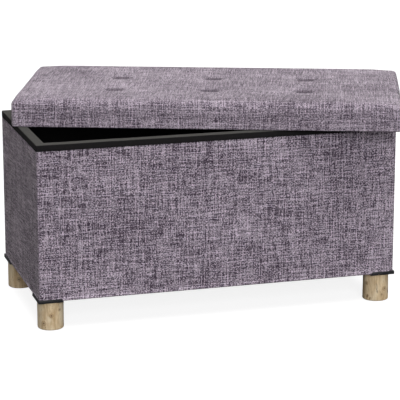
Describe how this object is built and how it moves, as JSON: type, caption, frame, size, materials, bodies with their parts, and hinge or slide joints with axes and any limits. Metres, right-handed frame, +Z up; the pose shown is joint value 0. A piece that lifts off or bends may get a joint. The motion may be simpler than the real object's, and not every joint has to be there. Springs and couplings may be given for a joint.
{
  "type": "storage bench",
  "caption": "Upholstered oblong storage box on short round log feet, with a loose padded cap lid lying turned on its open rim.",
  "frame": {"origin": "middle of the whole bench's outline at floor level, with the lid lying turned as stored, which is the point under the lid's middle", "axes": "+X along the box from its left end to its right end, +Y from front to back, +Z up"},
  "size_m": [0.8386, 0.6136, 0.4238],
  "materials": {
    "wall_board": "raw board",
    "base_board": "raw board",
    "dowel": "plain beech",
    "woven_cover": "slubbed linen-look weave, purple grey",
    "inner_lining": "black non-woven",
    "rim_binding": "dark grey non-woven",
    "bottom_lining": "black non-woven",
    "shoe_plastic": "moulded, satin black",
    "log": "debarked log, clear matt finish",
    "bolt_steel": "zinc plated",
    "insert_steel": "zinc plated",
    "screw_steel": "zinc plated",
    "lid_woven_cover": "slubbed linen-look weave, purple grey",
    "lid_foam": "open-cell foam",
    "lid_board": "raw board",
    "lid_lining": "black non-woven",
    "tuft_twine": "waxed twine with a fibre washer"
  },
  "bodies": {
    "box": {"front_board": "wall_board", "back_board": "wall_board", "left_board": "wall_board", "right_board": "wall_board", "base_board": "base_board", "corner_dowel_1": "dowel", "corner_dowel_2": "dowel", "corner_dowel_3": "dowel", "corner_dowel_4": "dowel", "corner_dowel_5": "dowel", "corner_dowel_6": "dowel", "corner_dowel_7": "dowel", "corner_dowel_8": "dowel", "outer_fabric": "woven_cover", "inner_liner": "inner_lining", "rim_binding_front": "rim_binding", "rim_binding_right": "rim_binding", "rim_binding_back": "rim_binding", "rim_binding_left": "rim_binding", "bottom_lining": "bottom_lining", "corner_shoe_front_left": "shoe_plastic", "corner_shoe_front_right": "shoe_plastic", "corner_shoe_back_left": "shoe_plastic", "corner_shoe_back_right": "shoe_plastic", "leg_front_left": "log", "leg_front_right": "log", "leg_back_left": "log", "leg_back_right": "log", "leg_bolt_front_left": "bolt_steel", "leg_bolt_front_right": "bolt_steel", "leg_bolt_back_left": "bolt_steel", "leg_bolt_back_right": "bolt_steel", "leg_insert_front_left": "insert_steel", "leg_insert_front_right": "insert_steel", "leg_insert_back_left": "insert_steel", "leg_insert_back_right": "insert_steel", "shoe_screw_front_left_a": "screw_steel", "shoe_screw_front_left_b": "screw_steel", "shoe_screw_front_right_a": "screw_steel", "shoe_screw_front_right_b": "screw_steel", "shoe_screw_back_left_a": "screw_steel", "shoe_screw_back_left_b": "screw_steel", "shoe_screw_back_right_a": "screw_steel", "shoe_screw_back_right_b": "screw_steel"},
    "lid": {"lid_cover": "lid_woven_cover", "lid_foam": "lid_foam", "lid_board": "lid_board", "lid_rail_front": "lid_board", "lid_rail_back": "lid_board", "lid_rail_left": "lid_board", "lid_rail_right": "lid_board", "lid_lining": "lid_lining", "lid_tuft_1": "tuft_twine", "lid_tuft_2": "tuft_twine", "lid_tuft_3": "tuft_twine", "lid_tuft_4": "tuft_twine", "lid_tuft_5": "tuft_twine", "lid_tuft_6": "tuft_twine"}
  },
  "joints": [
    {"name": "lid_lift", "type": "slide", "parent": "box", "child": "lid", "axis": [0, 0, 1], "range_m": [0, 0.3]}
  ]
}
